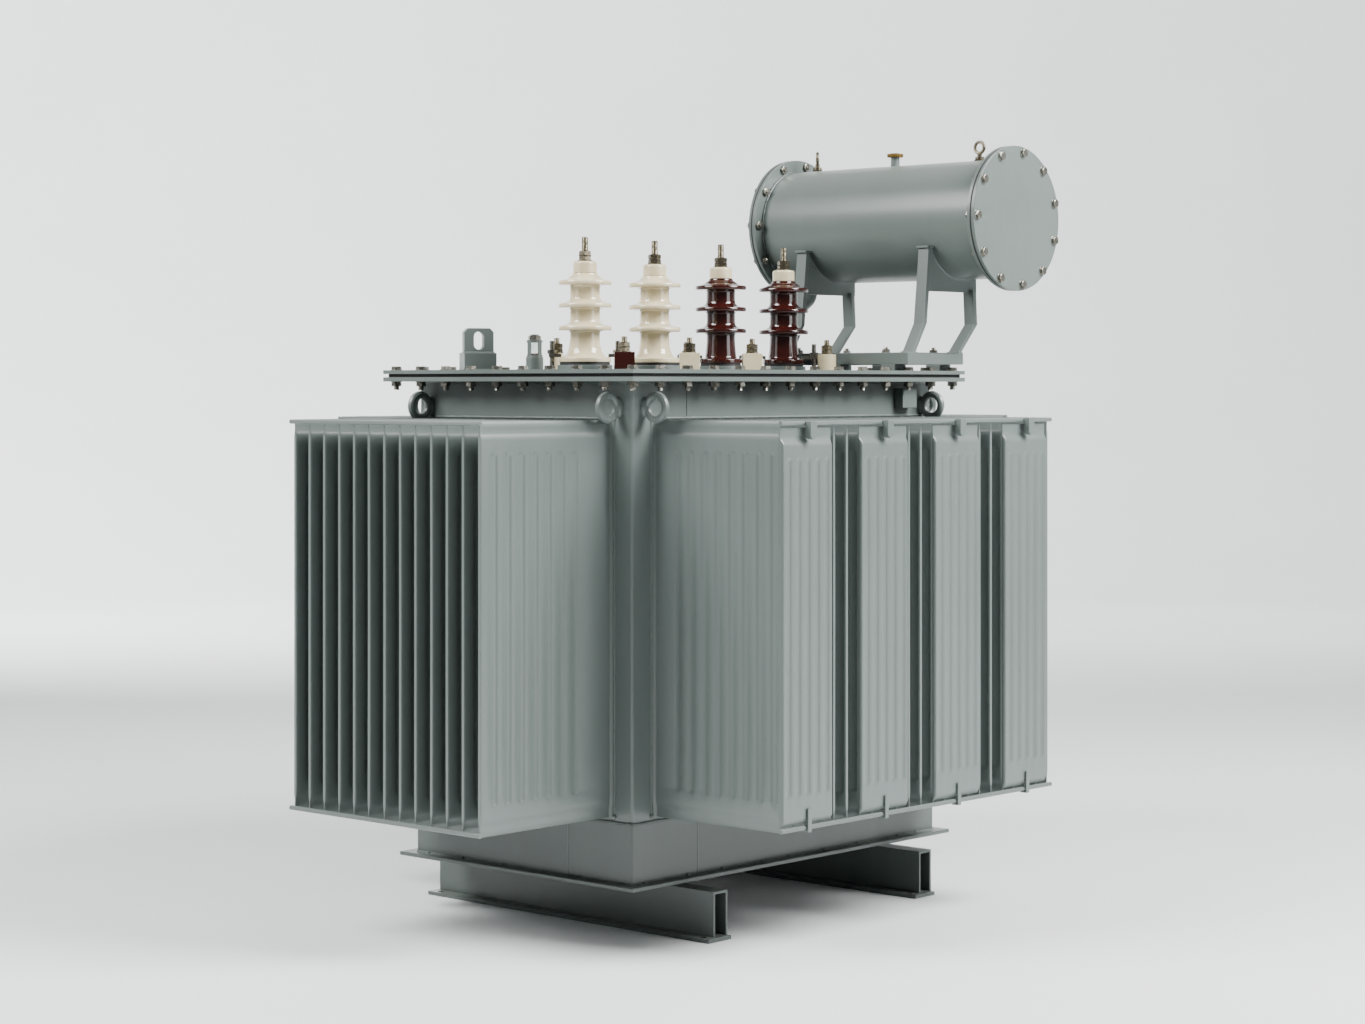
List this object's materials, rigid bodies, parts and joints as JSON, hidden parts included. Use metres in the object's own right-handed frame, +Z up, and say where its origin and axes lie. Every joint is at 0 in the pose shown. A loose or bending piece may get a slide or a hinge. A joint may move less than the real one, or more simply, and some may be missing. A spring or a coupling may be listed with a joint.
{
  "type": "oil-filled distribution transformer",
  "caption": "Outdoor oil-filled distribution transformer on skids: finned tank, porcelain bushings on a bolted cover and a raised drum-shaped oil conservator.",
  "frame": {"origin": "on the floor at the centre of the tank's footprint, midway between the skids", "axes": "+X along the tank's long side, towards the conservator; +Y from the front fins to the back fins; +Z up"},
  "size_m": [1.704, 1.322, 1.6555],
  "materials": {
    "tank_paint": "semi-gloss grey-green enamel",
    "core_steel": "laminated electrical steel",
    "zinc_steel": "zinc-plated",
    "stud_brass": "dull, tinned in places",
    "cap_brass": "worn",
    "cream_glaze": "glossy glaze",
    "brown_glaze": "glossy glaze",
    "cap_cream": "satin",
    "black_rubber": "matt",
    "clear_glass": "clear",
    "red_float": "gloss",
    "pointer_red": "gloss",
    "black_plastic": "moulded",
    "coil_copper": "varnished copper",
    "coil_paper": "oil-soaked paper"
  },
  "bodies": {
    "transformer": {"skid_left": "tank_paint", "skid_right": "tank_paint", "skid_packers": "tank_paint", "base_plate": "tank_paint", "tank_skirt": "tank_paint", "tank_walls_long": "tank_paint", "tank_walls_short": "tank_paint", "fins_front": "tank_paint", "fins_back": "tank_paint", "fins_left": "tank_paint", "fins_right": "tank_paint", "fin_tip_bars": "tank_paint", "outer_panels": "tank_paint", "panel_hangers": "tank_paint", "panel_straps": "tank_paint", "tank_flange": "tank_paint", "cover_plate": "tank_paint", "ring_eyes": "tank_paint", "earth_pad": "tank_paint", "lifting_lug": "tank_paint", "gauge_cage": "tank_paint", "hv_seats": "tank_paint", "conservator_shell": "tank_paint", "conservator_flanges": "tank_paint", "conservator_ends": "tank_paint", "filler_neck": "tank_paint", "conservator_brackets": "tank_paint", "conservator_base": "tank_paint", "oil_pipe": "tank_paint", "drain_valve": "tank_paint", "level_dial": "tank_paint", "core_clamps": "tank_paint", "cover_gasket": "black_rubber", "hv_seals": "black_rubber", "conservator_gaskets": "black_rubber", "cover_bolts": "zinc_steel", "cover_nuts": "zinc_steel", "gauge_cap": "zinc_steel", "bushing_clamps": "zinc_steel", "bushing_nuts": "zinc_steel", "conservator_bolts": "zinc_steel", "bushing_studs": "stud_brass", "eyebolts": "stud_brass", "hv_porcelain_cream": "cream_glaze", "lv_posts_cream": "cream_glaze", "hv_porcelain_brown": "brown_glaze", "lv_block_brown": "brown_glaze", "hv_caps": "cap_cream", "gauge_glass": "clear_glass", "tap_switch": "black_plastic", "core": "core_steel", "lv_coils": "coil_copper", "hv_coils": "coil_paper"},
    "oil_float": {"gauge_float": "red_float"},
    "filler_cap": {"filler_cap": "cap_brass"},
    "valve_lever": {"valve_lever": "tank_paint"},
    "level_float": {"float_arm": "red_float"},
    "level_pointer": {"dial_pointer": "pointer_red"},
    "tap_knob": {"tap_knob": "black_plastic"},
    "drain_wheel": {"drain_wheel": "tank_paint"}
  },
  "joints": [
    {"name": "oil_float_slide", "type": "slide", "parent": "transformer", "child": "oil_float", "axis": [0, 0, 1], "range_m": [0, 0.027]},
    {"name": "filler_cap_turn", "type": "hinge", "parent": "transformer", "child": "filler_cap", "pos_m": [0.55, -0.16, 1.635], "axis": [0, 0, 1], "continuous": true},
    {"name": "valve_lever_turn", "type": "hinge", "parent": "transformer", "child": "valve_lever", "pos_m": [0.462, 0.124, 1.209], "axis": [0, 1, 0], "range_deg": [0, 90]},
    {"name": "level_float_swing", "type": "hinge", "parent": "transformer", "child": "level_float", "pos_m": [0.55, 0.118, 1.478], "axis": [0, 1, 0], "range_deg": [0, 80]},
    {"name": "level_pointer_turn", "type": "hinge", "parent": "transformer", "child": "level_pointer", "pos_m": [0.55, 0.167, 1.478], "axis": [0, 1, 0], "range_deg": [0, 80]},
    {"name": "tap_knob_turn", "type": "hinge", "parent": "transformer", "child": "tap_knob", "pos_m": [0.075, 0.16, 1.165], "axis": [0, 0, 1], "range_deg": [-72, 72]},
    {"name": "drain_wheel_turn", "type": "hinge", "parent": "transformer", "child": "drain_wheel", "pos_m": [0.578, 0, 0.165], "axis": [1, 0, 0], "continuous": true}
  ],
  "couplings": [
    {"joint": "level_pointer_turn", "follows": "level_float_swing", "ratio": 1}
  ]
}
